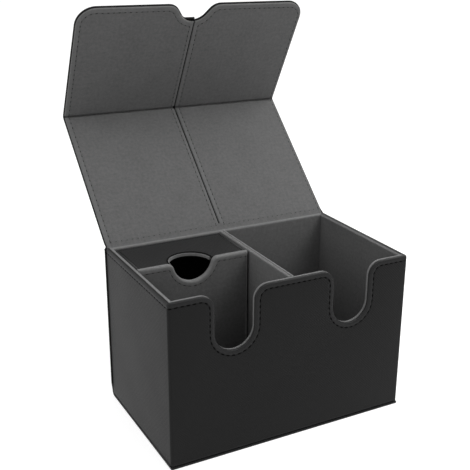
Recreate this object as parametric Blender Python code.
"""Card storage box with a split flip lid, two card bays and a lift-out drawer.

X runs to the right, Y to the back and Z up, in metres.
The origin is the middle of the box's underside. The lid halves are open as photographed.
"""
import math

import bmesh
import bpy

# Box
BOX_WIDTH = 0.1540
BOX_DEPTH = 0.0936
BOX_HEIGHT = 0.1002
BOTTOM_EDGE_RADIUS = 0.0035

# Sheets and boards
SKIN = 0.0006
LINING = 0.0005
WALL_BOARD = 0.0020
FLOOR_BOARD = 0.0020
BOTTOM_BOARD = 0.0008
BACK_BOARD = 0.0012
DIVIDER_BOARD = 0.0024
SHORT_DIVIDER_BOARD = 0.0021
LID_BOARD = 0.0008

# Seams and seats
SEAT_GAP = 0.0003
RIM_SKIN_HEM = 0.00145
RIM_CLEARANCE = 0.0003
CUT_OVERRUN = 0.0040

# Thumb notches in the front wall
NOTCH_SPACING = 0.0755
NOTCH_HALF_WIDTH = 0.0126
NOTCH_BOTTOM = 0.0650
NOTCH_SHOULDER_RADIUS = 0.0085

# Dividers
DIVIDER_OFFSET = -0.0010
SHORT_DIVIDER_FRONT = 0.0022
SHORT_DIVIDER_SIDE_GAP = 0.0009
FINGER_NOTCH_OFFSET = -0.0393
FINGER_NOTCH_RADIUS = 0.01245
FINGER_NOTCH_SHOULDER_RADIUS = 0.0040

# Drawer
DRAWER_CLEARANCE = 0.0003
DRAWER_RECESS = 0.0009
DRAWER_SKIN = 0.0004
DRAWER_LINING = 0.0004
DRAWER_BOARD = 0.0012
DRAWER_HEM = 0.0020
THUMB_NOTCH_OFFSET = -0.0398
THUMB_NOTCH_RADIUS = 0.0124

# Lid halves and flaps
LID_REACH = 0.0952
FLAP_REACH = 0.0807
LID_SHIFT = 0.0004
SLIT_WIDTH = 0.0008
HINGE_MARGIN = 0.0030
FOLD_MARGIN = 0.0015
CREASE_DEPTH = 0.0005
FLAP_CORNER_RADIUS = 0.0120
FLAP_NOTCH_DEPTH = 0.0117
FLAP_NOTCH_RADIUS = 0.0100
FLAP_NOTCH_SHOULDER_RADIUS = 0.0050
FLAP_TAB_DEPTH = 0.0100
LID_HEM_SHARE = 0.54
LID_ANGLE = math.radians(42.7)
FLAP_BEND = math.radians(76.96)
FLAP_NOTCH_SLOPE = math.radians(45)

# Magnets
MAGNET_RADIUS = 0.0060
FLAP_MAGNET_THICKNESS = 0.0008
WALL_MAGNET_THICKNESS = 0.0015
MAGNET_EDGE_DISTANCE = 0.0120
MAGNET_SPACING = 0.0760

ARC_STEP = math.radians(7.5)
LEFT_RIGHT = (("left", -1), ("right", 1))

# Faces of the walls, from the outside in
HALF_WIDTH = BOX_WIDTH / 2
HALF_DEPTH = BOX_DEPTH / 2
BOARD_INSET = SKIN + SEAT_GAP
LINING_INSET = BOARD_INSET + WALL_BOARD + SEAT_GAP
WALL = LINING_INSET + LINING
RIM_LINING_INSET = RIM_SKIN_HEM + SEAT_GAP
BOARD_HALF_WIDTH = HALF_WIDTH - BOARD_INSET
LINING_HALF_WIDTH = HALF_WIDTH - LINING_INSET
BAY_HALF_WIDTH = HALF_WIDTH - WALL
FRONT = -HALF_DEPTH
FRONT_BOARD_BACK = FRONT + BOARD_INSET + WALL_BOARD
BAY_FRONT = FRONT + WALL
BACK_BOARD_REAR = HALF_DEPTH - BOARD_INSET
BACK_BOARD_FRONT = BACK_BOARD_REAR - BACK_BOARD
REAR_WALL_REAR = BACK_BOARD_FRONT - SEAT_GAP
REAR_WALL_FRONT = REAR_WALL_REAR - WALL_BOARD
REAR_LINING_REAR = REAR_WALL_FRONT - SEAT_GAP
BAY_REAR = REAR_LINING_REAR - LINING

# Levels, from the table up
PLATE_TOP = BOARD_INSET + BOTTOM_BOARD
BODY_BOTTOM = PLATE_TOP + SEAT_GAP
FLOOR_BOARD_TOP = BODY_BOTTOM + FLOOR_BOARD
FLOOR_LINING_BOTTOM = FLOOR_BOARD_TOP + SEAT_GAP
FLOOR = FLOOR_LINING_BOTTOM + LINING
STANDING_LEVEL = FLOOR + SEAT_GAP
WALL_BOARD_TOP = BOX_HEIGHT - BOARD_INSET
HINGE_LEVEL = BOX_HEIGHT + RIM_CLEARANCE
COVER_TOP = HINGE_LEVEL - HINGE_MARGIN

# Dividers
DIVIDER = DIVIDER_BOARD + 2 * SEAT_GAP + 2 * LINING
DIVIDER_LEFT = DIVIDER_OFFSET - DIVIDER / 2
DIVIDER_RIGHT = DIVIDER_OFFSET + DIVIDER / 2
DIVIDER_FRONT = BAY_FRONT + SEAT_GAP
DIVIDER_REAR = BAY_REAR - SEAT_GAP
SHORT_DIVIDER = SHORT_DIVIDER_BOARD + 2 * SEAT_GAP + 2 * LINING
SHORT_DIVIDER_REAR = SHORT_DIVIDER_FRONT + SHORT_DIVIDER
SHORT_DIVIDER_LEFT = -BAY_HALF_WIDTH + SEAT_GAP
SHORT_DIVIDER_RIGHT = DIVIDER_LEFT - SHORT_DIVIDER_SIDE_GAP

# Drawer, from its own bottom centre
DRAWER_LEFT = -BAY_HALF_WIDTH + DRAWER_CLEARANCE
DRAWER_RIGHT = DIVIDER_LEFT - DRAWER_CLEARANCE
DRAWER_FRONT = SHORT_DIVIDER_REAR + DRAWER_CLEARANCE
DRAWER_REAR = BAY_REAR - DRAWER_CLEARANCE
DRAWER_BOTTOM = FLOOR + DRAWER_CLEARANCE
DRAWER_TOP = BOX_HEIGHT - DRAWER_RECESS
DRAWER_CENTRE = ((DRAWER_LEFT + DRAWER_RIGHT) / 2, (DRAWER_FRONT + DRAWER_REAR) / 2, DRAWER_BOTTOM)
DRAWER_HALF_WIDTH = (DRAWER_RIGHT - DRAWER_LEFT) / 2
DRAWER_HALF_DEPTH = (DRAWER_REAR - DRAWER_FRONT) / 2
DRAWER_HEIGHT = DRAWER_TOP - DRAWER_BOTTOM
DRAWER_BOARD_INSET = DRAWER_SKIN + SEAT_GAP
DRAWER_BOARD_INNER = DRAWER_BOARD_INSET + DRAWER_BOARD
DRAWER_LINING_INSET = DRAWER_BOARD_INNER + SEAT_GAP
THUMB_NOTCH_X = THUMB_NOTCH_OFFSET - DRAWER_CENTRE[0]

# Lid and flap, below the lining's face
LID_BOARD_TOP = LINING + SEAT_GAP
LID_BOARD_BOTTOM = LID_BOARD_TOP + LID_BOARD
LID_SKIN_TOP = LID_BOARD_BOTTOM + SEAT_GAP
LID_THICKNESS = LID_SKIN_TOP + SKIN
LID_SEAM = LID_THICKNESS * LID_HEM_SHARE
MAGNET_HOLE_RADIUS = MAGNET_RADIUS + SEAT_GAP
FLAP_MAGNET_REACH = FLAP_REACH - MAGNET_EDGE_DISTANCE
WALL_MAGNET_LEVEL = HINGE_LEVEL - FLAP_MAGNET_REACH


def finish(name, colour, roughness, metallic=0):
    """A plain material with the colour, roughness and metallic value of one real surface."""
    material = bpy.data.materials.new(name)
    material.use_nodes = True
    shader = material.node_tree.nodes["Principled BSDF"]
    shader.inputs["Base Color"].default_value = (*colour, 1)
    shader.inputs["Roughness"].default_value = roughness
    shader.inputs["Metallic"].default_value = metallic
    material.diffuse_color = (*colour, 1)
    return material


def arc(centre, radius, start, end):
    """Points on an arc from one angle to another, ends included."""
    count = max(2, math.ceil(abs(end - start) / ARC_STEP))
    angles = [start + (end - start) * step / count for step in range(count + 1)]
    return [(centre[0] + radius * math.cos(a), centre[1] + radius * math.sin(a)) for a in angles]


def rectangle(left, right, bottom, top):
    """Corners of an upright rectangle, anticlockwise."""
    return [(left, bottom), (right, bottom), (right, top), (left, top)]


def mirrored(outline, side):
    """The outline itself for side 1, or its mirror image in X for side -1."""
    if side > 0:
        return outline
    return [(-x, y) for x, y in reversed(outline)]


def inset(outline, distance):
    """An anticlockwise outline moved inwards by a distance, with mitred corners."""
    moved = []
    for index, (x, y) in enumerate(outline):
        before = outline[index - 1]
        after = outline[(index + 1) % len(outline)]
        run_in = math.atan2(y - before[1], x - before[0])
        run_out = math.atan2(after[1] - y, after[0] - x)
        turn = math.remainder(run_out - run_in, math.tau)
        normal = run_in + turn / 2 + math.pi / 2
        reach = distance / math.cos(turn / 2)
        moved.append((x + reach * math.cos(normal), y + reach * math.sin(normal)))
    return moved


def add_object(name, mesh_builder, material, parent=None, place=(0, 0, 0), turn=(0, 0, 0)):
    """An object whose mesh is filled in by a function that takes a bmesh."""
    mesh = bpy.data.meshes.new(name)
    work = bmesh.new()
    mesh_builder(work)
    bmesh.ops.recalc_face_normals(work, faces=work.faces)
    work.to_mesh(mesh)
    work.free()
    if material:
        mesh.materials.append(material)
    piece = bpy.data.objects.new(name, mesh)
    piece.location = place
    piece.rotation_euler = turn
    piece.parent = parent
    bpy.context.scene.collection.objects.link(piece)
    return piece


def plate(name, outline, low, high, material, parent=None, place=(0, 0, 0), turn=(0, 0, 0)):
    """An outline in local X and Y, extruded from a low to a high local Z."""
    def build(work):
        ring = [work.verts.new((x, y, low)) for x, y in outline]
        face = work.faces.new(ring)
        raised = bmesh.ops.extrude_face_region(work, geom=[face])["geom"]
        lifted = [item for item in raised if isinstance(item, bmesh.types.BMVert)]
        bmesh.ops.translate(work, verts=lifted, vec=(0, 0, high - low))
    return add_object(name, build, material, parent, place, turn)


def block(name, low, high, material, parent=None, place=(0, 0, 0)):
    """A box between its lowest and its highest corner."""
    outline = rectangle(low[0], high[0], low[1], high[1])
    return plate(name, outline, low[2], high[2], material, parent, place)


def upright(name, outline, front, rear, material, place=(0, 0, 0)):
    """An outline in X and Z, extruded between a front and a rear Y."""
    return plate(name, outline, -rear, -front, material, None, place, (math.pi / 2, 0, 0))


def lengthwise(name, outline, left, right, material, place=(0, 0, 0)):
    """An outline in Y and Z, extruded between a left and a right X."""
    return plate(name, outline, left, right, material, None, place, (math.pi / 2, 0, math.pi / 2))


def cut(piece, *cutters):
    """Cuts other objects out of a piece and turns them into guides."""
    for cutter in cutters:
        modifier = piece.modifiers.new("Cut " + cutter.name, "BOOLEAN")
        modifier.operation = "DIFFERENCE"
        modifier.solver = "EXACT"
        modifier.object = cutter
        cutter.hide_render = True
        cutter.display_type = "WIRE"
    return piece


def pivot(name, place, parent=None, turn=0):
    """An empty on a joint's axis."""
    empty = bpy.data.objects.new(name, None)
    empty.location = place
    empty.rotation_euler = (turn, 0, 0)
    empty.parent = parent
    bpy.context.scene.collection.objects.link(empty)
    return empty


def notch_edge(centre, grow):
    """The line of one thumb notch from its left to its right shoulder, grown into the wall."""
    shoulder = NOTCH_HALF_WIDTH + NOTCH_SHOULDER_RADIUS
    shoulder_level = BOX_HEIGHT - NOTCH_SHOULDER_RADIUS
    radius = NOTCH_SHOULDER_RADIUS - grow
    left = arc((centre - shoulder, shoulder_level), radius, math.pi / 2, 0)
    bowl_centre = (centre, NOTCH_BOTTOM + NOTCH_HALF_WIDTH)
    bowl = arc(bowl_centre, NOTCH_HALF_WIDTH + grow, math.pi, math.tau)
    right = arc((centre + shoulder, shoulder_level), radius, math.pi, math.pi / 2)
    return left + bowl + right


def front_outline(half_width, bottom, grow):
    """The front wall in X and Z with both notches, its rim lowered by the same growth."""
    level = BOX_HEIGHT - grow
    rim = notch_edge(-NOTCH_SPACING / 2, grow) + notch_edge(NOTCH_SPACING / 2, grow)
    corners = [(-half_width, level), (-half_width, bottom), (half_width, bottom), (half_width, level)]
    return corners + rim[::-1]


def notch_cutter(name, centre, grow):
    """A solid through the front wall that opens one notch, grown into the wall."""
    edge = notch_edge(centre, grow)
    above = BOX_HEIGHT + CUT_OVERRUN
    outline = edge + [(edge[-1][0], above), (edge[0][0], above)]
    return upright(name, outline, FRONT - CUT_OVERRUN, BAY_FRONT + CUT_OVERRUN, None)


def notch_cutters(name, grow):
    """Cutters for both notches of the front wall."""
    return [notch_cutter(f"{name}_{word}", side * NOTCH_SPACING / 2, grow) for word, side in LEFT_RIGHT]


def finger_outline(left, right, bottom, grow):
    """The short divider in X and Z, with its half-round notch and eased shoulders."""
    level = BOX_HEIGHT - grow
    shoulder_radius = FINGER_NOTCH_SHOULDER_RADIUS
    span = FINGER_NOTCH_RADIUS + shoulder_radius
    reach = math.sqrt(span ** 2 - shoulder_radius ** 2)
    lean = math.asin(shoulder_radius / span)
    shoulder_level = BOX_HEIGHT - shoulder_radius
    centre = FINGER_NOTCH_OFFSET
    eased = shoulder_radius - grow
    right_shoulder = arc((centre + reach, shoulder_level), eased, math.pi / 2, math.pi - lean)
    bowl = arc((centre, BOX_HEIGHT), FINGER_NOTCH_RADIUS + grow, -lean, lean - math.pi)
    left_shoulder = arc((centre - reach, shoulder_level), eased, lean, math.pi / 2)
    corners = [(left, level), (left, bottom), (right, bottom), (right, level)]
    return corners + right_shoulder + bowl + left_shoulder


def cover_profile(margin):
    """The outer sheet's L in Y and Z, moved inwards by a margin and open towards the body."""
    radius = BOTTOM_EDGE_RADIUS - margin
    rear = HALF_DEPTH - margin
    overrun = CUT_OVERRUN if margin else 0
    corner = (HALF_DEPTH - BOTTOM_EDGE_RADIUS, BOTTOM_EDGE_RADIUS)
    inner_y = BACK_BOARD_FRONT - overrun
    inner_z = PLATE_TOP + overrun
    outer = [(FRONT + margin, inner_z), (FRONT + margin, margin)] + arc(corner, radius, -math.pi / 2, 0)
    return outer + [(rear, COVER_TOP + overrun), (inner_y, COVER_TOP + overrun), (inner_y, inner_z)]


def build_cover(leather, card):
    """The outer sheet under and behind the body, and the two boards that it covers."""
    skin = lengthwise("cover_skin", cover_profile(0), -HALF_WIDTH, HALF_WIDTH, leather)
    pocket_half_width = HALF_WIDTH - SKIN
    cut(skin, lengthwise("cutter_cover", cover_profile(SKIN), -pocket_half_width, pocket_half_width, None))
    bottom_low = (-BOARD_HALF_WIDTH, FRONT + BOARD_INSET, BOARD_INSET)
    block("bottom_board", bottom_low, (BOARD_HALF_WIDTH, REAR_WALL_REAR, PLATE_TOP), card)
    back_low = (-BOARD_HALF_WIDTH, BACK_BOARD_FRONT, BOTTOM_EDGE_RADIUS)
    block("back_board", back_low, (BOARD_HALF_WIDTH, BACK_BOARD_REAR, COVER_TOP), card)


def build_wall_boards(card, steel):
    """The five boards that make the body stiff, and the magnets let into the front one."""
    front_low = FRONT + BOARD_INSET
    outline = front_outline(BOARD_HALF_WIDTH, BODY_BOTTOM, BOARD_INSET)
    front = upright("front_wall_board", outline, front_low, FRONT_BOARD_BACK, card)
    magnet_front = (front_low + FRONT_BOARD_BACK - WALL_MAGNET_THICKNESS) / 2
    for word, side in LEFT_RIGHT:
        centre = (LID_SHIFT + side * MAGNET_SPACING / 2, WALL_MAGNET_LEVEL)
        hole = arc(centre, MAGNET_HOLE_RADIUS, 0, math.tau)[:-1]
        hole_rear = FRONT_BOARD_BACK + CUT_OVERRUN
        cut(front, upright(f"cutter_magnet_{word}", hole, FRONT, hole_rear, None))
        disc = arc(centre, MAGNET_RADIUS, 0, math.tau)[:-1]
        magnet_rear = magnet_front + WALL_MAGNET_THICKNESS
        upright(f"front_{word}_magnet", disc, magnet_front, magnet_rear, steel)
        outer = side * BOARD_HALF_WIDTH
        inner = side * (BOARD_HALF_WIDTH - WALL_BOARD)
        side_low = (min(outer, inner), FRONT_BOARD_BACK + SEAT_GAP, BODY_BOTTOM)
        side_high = (max(outer, inner), REAR_WALL_FRONT - SEAT_GAP, WALL_BOARD_TOP)
        block(f"{word}_wall_board", side_low, side_high, card)
    rear_low = (-BOARD_HALF_WIDTH, REAR_WALL_FRONT, BODY_BOTTOM)
    block("rear_wall_board", rear_low, (BOARD_HALF_WIDTH, REAR_WALL_REAR, WALL_BOARD_TOP), card)
    floor_low = (-LINING_HALF_WIDTH, FRONT_BOARD_BACK + SEAT_GAP, BODY_BOTTOM)
    block("floor_board", floor_low, (LINING_HALF_WIDTH, REAR_LINING_REAR, FLOOR_BOARD_TOP), card)


def build_body_skin(leather):
    """One sheet round the left, the front and the right, turned over the rim and the notches."""
    low = (-HALF_WIDTH, FRONT, BODY_BOTTOM)
    skin = block("body_skin", low, (HALF_WIDTH, REAR_WALL_REAR, BOX_HEIGHT), leather)
    beyond = REAR_WALL_REAR + CUT_OVERRUN
    below = BODY_BOTTOM - CUT_OVERRUN
    inner_half_width = HALF_WIDTH - SKIN
    pocket = block(
        "cutter_body_pocket",
        (-inner_half_width, FRONT + SKIN, below),
        (inner_half_width, beyond, BOX_HEIGHT - SKIN),
        None,
    )
    cut(pocket, *notch_cutters("cutter_pocket_notch", SKIN))
    hem_half_width = HALF_WIDTH - RIM_SKIN_HEM
    hollow = block(
        "cutter_body_hollow",
        (-hem_half_width, FRONT + RIM_SKIN_HEM, below),
        (hem_half_width, beyond, BOX_HEIGHT + CUT_OVERRUN),
        None,
    )
    cut(skin, *notch_cutters("cutter_skin_notch", 0), hollow, pocket)


def build_linings(microfibre):
    """The sheets inside the walls, turned over the rim to meet the skin, and the floor sheets."""
    edge_half_width = HALF_WIDTH - RIM_LINING_INSET
    outline = front_outline(edge_half_width, FLOOR_LINING_BOTTOM, 0)
    front = upright("front_lining", outline, FRONT + RIM_LINING_INSET, BAY_FRONT, microfibre)
    pocket = front_outline(HALF_WIDTH, FLOOR_LINING_BOTTOM - CUT_OVERRUN, LINING)
    lining_front = FRONT + LINING_INSET
    cut(front, upright("cutter_front_lining", pocket, FRONT, lining_front, None))
    side_front = BAY_FRONT + SEAT_GAP
    side_rear = BAY_REAR - SEAT_GAP
    corners = []
    for word, side in LEFT_RIGHT:
        walls = [side * HALF_WIDTH, side * LINING_HALF_WIDTH]
        corner_low = (min(walls), FRONT, FLOOR_LINING_BOTTOM - CUT_OVERRUN)
        corner_high = (max(walls), HALF_DEPTH, BOX_HEIGHT - LINING)
        corners.append(block(f"cutter_{word}_corners", corner_low, corner_high, None))
        edges = [side * edge_half_width, side * BAY_HALF_WIDTH]
        low = (min(edges), side_front, FLOOR_LINING_BOTTOM)
        sheet = block(f"{word}_lining", low, (max(edges), side_rear, BOX_HEIGHT), microfibre)
        cut(sheet, corners[-1])
    cut(front, *corners)
    rear_low = (-edge_half_width, BAY_REAR, FLOOR_LINING_BOTTOM)
    rear = block("rear_lining", rear_low, (edge_half_width, REAR_WALL_REAR, BOX_HEIGHT), microfibre)
    pocket_low = (-HALF_WIDTH, REAR_LINING_REAR, FLOOR_LINING_BOTTOM - CUT_OVERRUN)
    pocket_high = (HALF_WIDTH, HALF_DEPTH, BOX_HEIGHT - LINING)
    cut(rear, block("cutter_rear_lining", pocket_low, pocket_high, None), *corners)
    floors = {
        "left": (-BAY_HALF_WIDTH + SEAT_GAP, DIVIDER_LEFT - SEAT_GAP),
        "right": (DIVIDER_RIGHT + SEAT_GAP, BAY_HALF_WIDTH - SEAT_GAP),
    }
    for word, (left, right) in floors.items():
        low = (left, side_front, FLOOR_LINING_BOTTOM)
        block(f"{word}_floor_lining", low, (right, side_rear, FLOOR), microfibre)


def build_divider(card, microfibre):
    """The long divider: a board with a sheet on each side, both turned in over its top."""
    inner_left = DIVIDER_LEFT + LINING
    board_low = (inner_left + SEAT_GAP, DIVIDER_FRONT, FLOOR_LINING_BOTTOM)
    board_high = (DIVIDER_RIGHT - LINING - SEAT_GAP, DIVIDER_REAR, WALL_BOARD_TOP)
    block("divider_board", board_low, board_high, card)
    for word, side in LEFT_RIGHT:
        outer = DIVIDER_OFFSET + side * DIVIDER / 2
        seam = DIVIDER_OFFSET + side * SEAT_GAP / 2
        low = (min(outer, seam), DIVIDER_FRONT, FLOOR_LINING_BOTTOM)
        high = (max(outer, seam), DIVIDER_REAR, BOX_HEIGHT)
        sheet = block(f"divider_{word}_lining", low, high, microfibre)
        inner = outer - side * LINING
        far = DIVIDER_OFFSET - side * DIVIDER
        pocket_low = (min(inner, far), DIVIDER_FRONT - CUT_OVERRUN, FLOOR_LINING_BOTTOM - CUT_OVERRUN)
        pocket_high = (max(inner, far), DIVIDER_REAR + CUT_OVERRUN, BOX_HEIGHT - LINING)
        cut(sheet, block(f"cutter_divider_{word}", pocket_low, pocket_high, None))


def build_short_divider(card, microfibre):
    """The cross divider in front of the drawer, wrapped over its top and its finger notch."""
    outline = finger_outline(SHORT_DIVIDER_LEFT, SHORT_DIVIDER_RIGHT, STANDING_LEVEL, 0)
    cover = upright("short_divider_cover", outline, SHORT_DIVIDER_FRONT, SHORT_DIVIDER_REAR, microfibre)
    left = SHORT_DIVIDER_LEFT + LINING
    right = SHORT_DIVIDER_RIGHT - LINING
    pocket = finger_outline(left, right, STANDING_LEVEL - CUT_OVERRUN, LINING)
    pocket_front = SHORT_DIVIDER_FRONT + LINING
    pocket_rear = SHORT_DIVIDER_REAR - LINING
    cut(cover, upright("cutter_short_divider", pocket, pocket_front, pocket_rear, None))
    gap = LINING + SEAT_GAP
    board = finger_outline(left + SEAT_GAP, right - SEAT_GAP, STANDING_LEVEL, gap)
    board_front = SHORT_DIVIDER_FRONT + gap
    board_rear = SHORT_DIVIDER_REAR - gap
    upright("short_divider_board", board, board_front, board_rear, card)


def thumb_notch_outline(left, right, front, rear, grow):
    """The drawer's top end in X and Y, with the half-round notch in its front edge."""
    radius = THUMB_NOTCH_RADIUS + grow
    centre = (THUMB_NOTCH_X, -DRAWER_HALF_DEPTH)
    start = math.asin((front + DRAWER_HALF_DEPTH) / radius)
    notch = arc(centre, radius, math.pi - start, start)
    return [(left, front)] + notch + [(right, front), (right, rear), (left, rear)]


def build_drawer(leather, microfibre, card):
    """The upright tray: five boards, the outer sheet, the top sheet and the lining inside."""
    slide = pivot("drawer_slide", DRAWER_CENTRE)
    half_width = DRAWER_HALF_WIDTH
    half_depth = DRAWER_HALF_DEPTH
    height = DRAWER_HEIGHT
    skin_low = (-half_width, -half_depth, 0)
    skin = block("drawer_skin", skin_low, (half_width, half_depth, height), leather, slide)
    pocket_width = half_width - DRAWER_SKIN
    pocket_depth = half_depth - DRAWER_SKIN
    pocket = block(
        "cutter_drawer_pocket",
        (-pocket_width, -pocket_depth, DRAWER_SKIN),
        (pocket_width, pocket_depth, height - DRAWER_SKIN),
        None,
        slide,
    )
    window_width = half_width - DRAWER_HEM
    window = block(
        "cutter_drawer_window",
        (-window_width, -half_depth - CUT_OVERRUN, DRAWER_HEM),
        (window_width, half_depth - DRAWER_HEM, height + CUT_OVERRUN),
        None,
        slide,
    )
    cut(skin, window, pocket)

    edge = DRAWER_BOARD_INSET
    inner = DRAWER_BOARD_INNER
    lining = DRAWER_LINING_INSET
    back_low = (edge - half_width, half_depth - inner, edge)
    back_high = (half_width - edge, half_depth - edge, height - edge)
    block("drawer_back_board", back_low, back_high, card, slide)
    for word, side in LEFT_RIGHT:
        faces = [side * (half_width - edge), side * (half_width - inner)]
        low = (min(faces), edge - half_depth, edge)
        block(f"drawer_{word}_board", low, (max(faces), half_depth - lining, height - edge), card, slide)
    end_width = half_width - lining
    bottom_low = (-end_width, edge - half_depth, edge)
    block("drawer_bottom_board", bottom_low, (end_width, half_depth - lining, inner), card, slide)
    top_board = thumb_notch_outline(-end_width, end_width, edge - half_depth, half_depth - lining, edge)
    plate("drawer_top_board", top_board, height - inner, height - edge, card, slide)

    sheet_width = window_width - SEAT_GAP
    sheet_rear = half_depth - DRAWER_HEM - SEAT_GAP
    sheet = thumb_notch_outline(-sheet_width, sheet_width, -half_depth, sheet_rear, 0)
    top_skin = plate("drawer_top_skin", sheet, height - inner, height, leather, slide)
    grown = DRAWER_SKIN
    under = thumb_notch_outline(-half_width, half_width, grown - half_depth, half_depth, grown)
    below = height - inner - CUT_OVERRUN
    cut(top_skin, plate("cutter_drawer_top", under, below, height - DRAWER_SKIN, None, slide))

    tray_width = half_width - lining
    tray_rear = half_depth - lining
    tray_low = (-tray_width, -half_depth + edge, lining)
    tray = block("drawer_lining", tray_low, (tray_width, tray_rear, height - lining), microfibre, slide)
    hollow_width = tray_width - DRAWER_LINING
    hollow_low = (-hollow_width, -half_depth - CUT_OVERRUN, lining + DRAWER_LINING)
    hollow_high = (hollow_width, tray_rear - DRAWER_LINING, height - lining - DRAWER_LINING)
    hollow = block("cutter_drawer_hollow", hollow_low, hollow_high, None, slide)
    notch = arc((THUMB_NOTCH_X, -half_depth), THUMB_NOTCH_RADIUS, 0, math.tau)[:-1]
    notch_bottom = height - lining - CUT_OVERRUN
    cut(tray, hollow, plate("cutter_drawer_notch", notch, notch_bottom, height, None, slide))


def lid_outline(side):
    """One lid half in its own X and Y, from the hinge margin to the fold margin."""
    outline = rectangle(SLIT_WIDTH / 2, HALF_WIDTH, HINGE_MARGIN, LID_REACH - FOLD_MARGIN)
    return mirrored(outline, side)


def flap_outline(side, tab_level=0):
    """One flap in its own X and Y, with its round corner and its half of the middle notch."""
    slope = FLAP_NOTCH_SLOPE
    low = FLAP_REACH - FLAP_NOTCH_DEPTH
    bowl_centre = (0, low + FLAP_NOTCH_RADIUS)
    start = -math.pi / 2 + math.asin(SLIT_WIDTH / 2 / FLAP_NOTCH_RADIUS)
    bowl = arc(bowl_centre, FLAP_NOTCH_RADIUS, start, slope - math.pi / 2)
    shoulder = FLAP_NOTCH_SHOULDER_RADIUS
    shoulder_level = FLAP_REACH - shoulder
    rise = shoulder_level + shoulder * math.cos(slope) - bowl[-1][1]
    shoulder_x = bowl[-1][0] + rise / math.tan(slope) + shoulder * math.sin(slope)
    ease = arc((shoulder_x, shoulder_level), shoulder, math.pi / 2 + slope, math.pi / 2)
    corner_centre = (HALF_WIDTH - FLAP_CORNER_RADIUS, FLAP_REACH - FLAP_CORNER_RADIUS)
    corner = arc(corner_centre, FLAP_CORNER_RADIUS, math.pi / 2, 0)
    notch = [(x, max(y, tab_level)) for x, y in bowl]
    ring = [(HALF_WIDTH, FOLD_MARGIN), (SLIT_WIDTH / 2, FOLD_MARGIN)] + notch + ease + corner
    return mirrored(ring[::-1], side)


def laminate(name, outline, skin_outline, leather, microfibre, card, parent):
    """A lining, a board and a skin with a common edge, where both sheets turn in and meet."""
    lining = plate(f"{name}_lining", outline, -LID_SEAM + SEAT_GAP / 2, 0, microfibre, parent)
    under = inset(outline, LINING)
    cut(lining, plate(f"cutter_{name}_lining", under, -LID_THICKNESS, -LINING, None, parent))
    skin = plate(f"{name}_skin", skin_outline, -LID_THICKNESS, -LID_SEAM - SEAT_GAP / 2, leather, parent)
    above = inset(skin_outline, SKIN)
    cut(skin, plate(f"cutter_{name}_skin", above, SKIN - LID_THICKNESS, 0, None, parent))
    core = inset(outline, BOARD_INSET)
    return plate(f"{name}_board", core, -LID_BOARD_BOTTOM, -LID_BOARD_TOP, card, parent)


def build_hinge_strip(word, side, leather):
    """The flexible strip from the top of the back plate to one lid half."""
    along = (math.cos(LID_ANGLE), math.sin(LID_ANGLE))
    outwards = (math.sin(LID_ANGLE), -math.cos(LID_ANGLE))
    end = HINGE_MARGIN - SEAT_GAP

    def at(reach, depth):
        return (
            HALF_DEPTH + reach * along[0] + depth * outwards[0],
            HINGE_LEVEL + reach * along[1] + depth * outwards[1],
        )
    bottom = COVER_TOP + SEAT_GAP
    profile = [
        (BACK_BOARD_FRONT, bottom),
        (HALF_DEPTH, bottom),
        at(0, LID_THICKNESS - CREASE_DEPTH),
        at(end, LID_THICKNESS),
        at(end, 0),
        (HALF_DEPTH, BOX_HEIGHT),
        (BACK_BOARD_FRONT, BOX_HEIGHT),
    ]
    faces = [LID_SHIFT + side * SLIT_WIDTH / 2, LID_SHIFT + side * HALF_WIDTH]
    lengthwise(f"{word}_hinge_strip", profile, min(faces), max(faces), leather)


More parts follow.
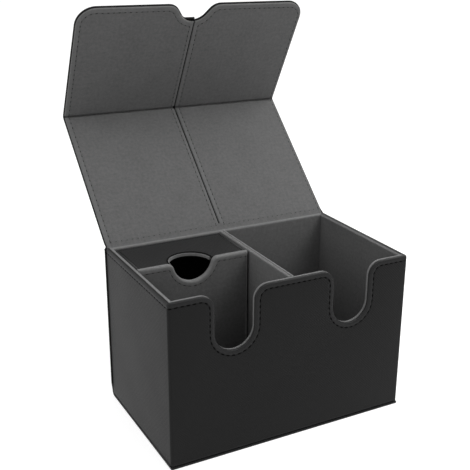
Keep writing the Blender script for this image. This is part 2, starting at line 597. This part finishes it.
def build_fold_strip(word, side, leather, lid_pivot):
    """The flexible strip round the fold between one lid half and its flap."""
    end = FOLD_MARGIN - SEAT_GAP
    flap = (math.cos(FLAP_BEND), math.sin(FLAP_BEND))
    flap_out = (math.sin(FLAP_BEND), -math.cos(FLAP_BEND))
    middle = (FLAP_BEND - math.pi) / 2
    spine = arc((0, 0), LID_THICKNESS, -math.pi / 2, FLAP_BEND - math.pi / 2)
    profile = [(-end, 0), (-end, -LID_THICKNESS)] + spine
    inner = (end * flap[0], end * flap[1])
    profile.append((inner[0] + LID_THICKNESS * flap_out[0], inner[1] + LID_THICKNESS * flap_out[1]))
    profile.append(inner)
    profile.append((CREASE_DEPTH * math.cos(middle), CREASE_DEPTH * math.sin(middle)))
    faces = [side * SLIT_WIDTH / 2, side * HALF_WIDTH]
    place = (0, LID_REACH, 0)
    turn = (math.pi / 2, 0, math.pi / 2)
    plate(f"{word}_fold_strip", profile, min(faces), max(faces), leather, lid_pivot, place, turn)


def build_lid(word, side, leather, microfibre, card, steel):
    """One lid half with its flap, hung on empties at the hinge and at the fold."""
    hinge = pivot(f"{word}_lid_pivot", (LID_SHIFT, HALF_DEPTH, HINGE_LEVEL), None, LID_ANGLE)
    fold = pivot(f"{word}_flap_pivot", (0, LID_REACH, 0), hinge, FLAP_BEND)
    outline = lid_outline(side)
    laminate(f"{word}_lid", outline, outline, leather, microfibre, card, hinge)
    outline = flap_outline(side)
    tab_level = FLAP_REACH - FLAP_TAB_DEPTH if side < 0 else 0
    board = laminate(f"{word}_flap", outline, flap_outline(side, tab_level), leather, microfibre, card, fold)
    centre = (side * MAGNET_SPACING / 2, FLAP_MAGNET_REACH)
    hole = arc(centre, MAGNET_HOLE_RADIUS, 0, math.tau)[:-1]
    cut(board, plate(f"cutter_{word}_flap_magnet", hole, -LID_THICKNESS, 0, None, fold))
    disc = arc(centre, MAGNET_RADIUS, 0, math.tau)[:-1]
    magnet_top = -(LID_BOARD_TOP + LID_BOARD_BOTTOM - FLAP_MAGNET_THICKNESS) / 2
    plate(f"{word}_flap_magnet", disc, magnet_top - FLAP_MAGNET_THICKNESS, magnet_top, steel, fold)
    build_hinge_strip(word, side, leather)
    build_fold_strip(word, side, leather, hinge)


def main():
    for existing in list(bpy.data.objects):
        bpy.data.objects.remove(existing, do_unlink=True)
    leather = finish("black_leather", (0.022, 0.022, 0.023), 0.55)
    microfibre = finish("grey_microfibre", (0.095, 0.096, 0.098), 0.95)
    card = finish("grey_card", (0.30, 0.29, 0.27), 0.9)
    steel = finish("magnet_steel", (0.55, 0.55, 0.56), 0.35, 1)
    build_cover(leather, card)
    build_wall_boards(card, steel)
    build_body_skin(leather)
    build_linings(microfibre)
    build_divider(card, microfibre)
    build_short_divider(card, microfibre)
    build_drawer(leather, microfibre, card)
    for word, side in LEFT_RIGHT:
        build_lid(word, side, leather, microfibre, card, steel)


main()
